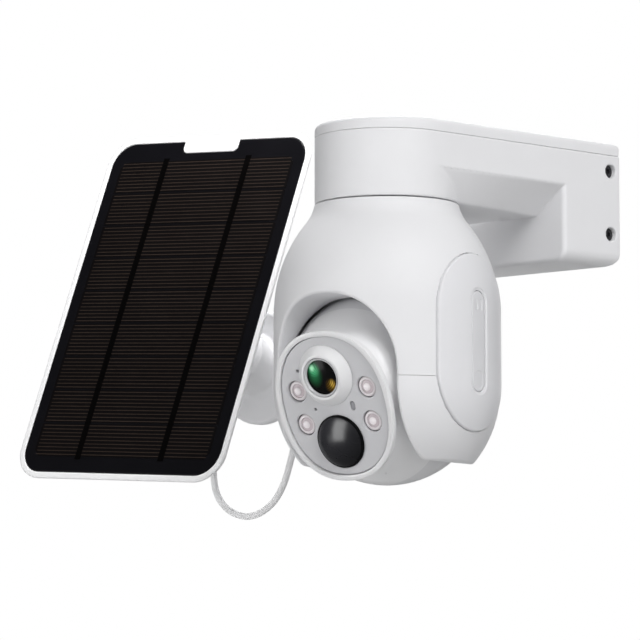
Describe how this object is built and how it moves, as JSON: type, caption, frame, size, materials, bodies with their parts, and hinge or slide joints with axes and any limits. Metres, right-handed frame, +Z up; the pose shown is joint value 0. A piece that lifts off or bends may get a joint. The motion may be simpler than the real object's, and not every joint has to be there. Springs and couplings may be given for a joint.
{
  "type": "solar security camera",
  "caption": "Pan and tilt camera hanging from a wall arm, powered by a tilting solar panel on its own wall base.",
  "frame": {"origin": "centre of the camera wall plate's bolt pattern, on the wall plane", "axes": "+X to the right when facing the wall, +Y into the wall, +Z up; the camera stands out towards -Y"},
  "size_m": [0.3116, 0.1778, 0.2099],
  "materials": {
    "white_plastic": "fine satin moulded ABS, off-white",
    "cap_plastic": "fine satin moulded ABS, a shade darker",
    "head_plastic": "semi-gloss white ABS",
    "plate_grey": "satin light grey face plate",
    "black_gloss": "gloss black infrared dome",
    "lens_glass": "coated lens glass, green and amber reflections",
    "lens_metal": "light satin lens ring",
    "lamp_clear": "clear pinkish lamp lens",
    "lamp_emitter": "pale lamp chip",
    "sensor_window": "smoked light sensor window",
    "black_screw": "black oxide screw",
    "zinc_steel": "zinc plated steel",
    "grey_nylon": "grey nylon",
    "ivory_nylon": "natural acetal",
    "black_plastic": "black moulded plastic",
    "cell_wrap": "blue shrink wrap",
    "circuit_board": "green solder mask",
    "port_rubber": "light grey soft rubber",
    "panel_white": "bright white panel frame",
    "panel_rear": "fine textured white ABS",
    "solar_black": "black backing sheet under clear film",
    "solar_cell": "near-black monocrystalline cells",
    "cable_white": "white flexible cable jacket"
  },
  "bodies": {
    "bracket": {"bracket_arm": "white_plastic", "bracket_lid": "white_plastic", "wall_plate": "zinc_steel", "side_screws": "black_screw", "power_socket": "black_plastic", "pan_bushing": "grey_nylon", "pan_motor": "zinc_steel", "pan_motor_screws": "zinc_steel", "solar_base": "white_plastic", "solar_arm": "white_plastic", "arm_lock_screw": "zinc_steel", "cable_gland": "cable_white", "solar_cable": "cable_white", "cable_plug": "cable_white"},
    "pan_drive": {"pan_pinion": "ivory_nylon"},
    "pan_body": {"pan_spindle": "grey_nylon", "pan_gear": "ivory_nylon", "spindle_clip": "zinc_steel", "body_upper": "white_plastic", "body_lower": "white_plastic", "body_screws": "zinc_steel", "side_cap_left": "cap_plastic", "side_cap_right": "cap_plastic", "battery_cradle": "black_plastic", "battery_cells": "cell_wrap", "main_board": "circuit_board", "speaker": "black_plastic", "tilt_bushings": "grey_nylon", "tilt_motor": "zinc_steel", "port_tray": "cap_plastic"},
    "tilt_drive": {"tilt_pinion": "ivory_nylon"},
    "port_flap": {"port_cover": "port_rubber"},
    "reset_key": {"reset_button": "white_plastic"},
    "head": {"head_shell": "head_plastic", "front_bezel": "head_plastic", "head_screws": "black_screw", "tilt_shafts": "grey_nylon", "tilt_gear": "ivory_nylon", "face_plate": "plate_grey", "lens_collar": "head_plastic", "lens_ring": "lens_metal", "lens_glass": "lens_glass", "camera_module": "black_plastic", "sensor_board": "circuit_board", "led_lenses": "lamp_clear", "led_emitters": "lamp_emitter", "dome_ring": "black_gloss", "pir_dome": "black_gloss", "pir_sensor": "zinc_steel", "light_sensor": "sensor_window", "microphone": "black_plastic"},
    "ball_cup": {"ball_liner": "ivory_nylon"},
    "solar_panel": {"panel_back": "panel_rear", "junction_box": "panel_rear", "pivot_socket": "panel_rear", "clamp_ring": "panel_rear", "panel_frame": "panel_white", "backing_sheet": "solar_black", "solar_cells": "solar_cell"}
  },
  "joints": [
    {"name": "pan", "type": "hinge", "parent": "bracket", "child": "pan_body", "pos_m": [0, -0.12, -0.06], "axis": [0, 0, 1], "range_deg": [-180, 170]},
    {"name": "pan_pinion_spin", "type": "hinge", "parent": "bracket", "child": "pan_drive", "pos_m": [0, -0.0964, 0], "axis": [0, 0, 1], "range_deg": [-600, 600]},
    {"name": "tilt", "type": "hinge", "parent": "pan_body", "child": "head", "pos_m": [0, -0.12, -0.0954], "axis": [0.9962, 0.0872, 0], "range_deg": [-12, 70]},
    {"name": "tilt_pinion_spin", "type": "hinge", "parent": "pan_body", "child": "tilt_drive", "pos_m": [0, -0.12, -0.0746], "axis": [0.9962, 0.0872, 0], "range_deg": [-260, 60]},
    {"name": "port_cover_hinge", "type": "hinge", "parent": "pan_body", "child": "port_flap", "pos_m": [0.05551, -0.11765, -0.1015], "axis": [-0.0872, 0.9962, 0], "range_deg": [0, 100]},
    {"name": "reset_press", "type": "slide", "parent": "pan_body", "child": "reset_key", "axis": [-0.9962, -0.0872, 0], "range_m": [0, 0.0008], "stiffness_N_per_m": 300},
    {"name": "solar_swivel", "type": "hinge", "parent": "bracket", "child": "ball_cup", "pos_m": [-0.187, -0.05806, -0.04805], "axis": [0, 0, 1], "range_deg": [-25, 25]},
    {"name": "solar_tilt", "type": "hinge", "parent": "ball_cup", "child": "solar_panel", "pos_m": [-0.187, -0.05806, -0.04805], "axis": [0.9952, 0.0983, 0], "range_deg": [-20, 20]}
  ],
  "couplings": [
    {"joint": "pan_pinion_spin", "follows": "pan", "ratio": -3.2143},
    {"joint": "tilt_pinion_spin", "follows": "tilt", "ratio": -3.3333}
  ]
}
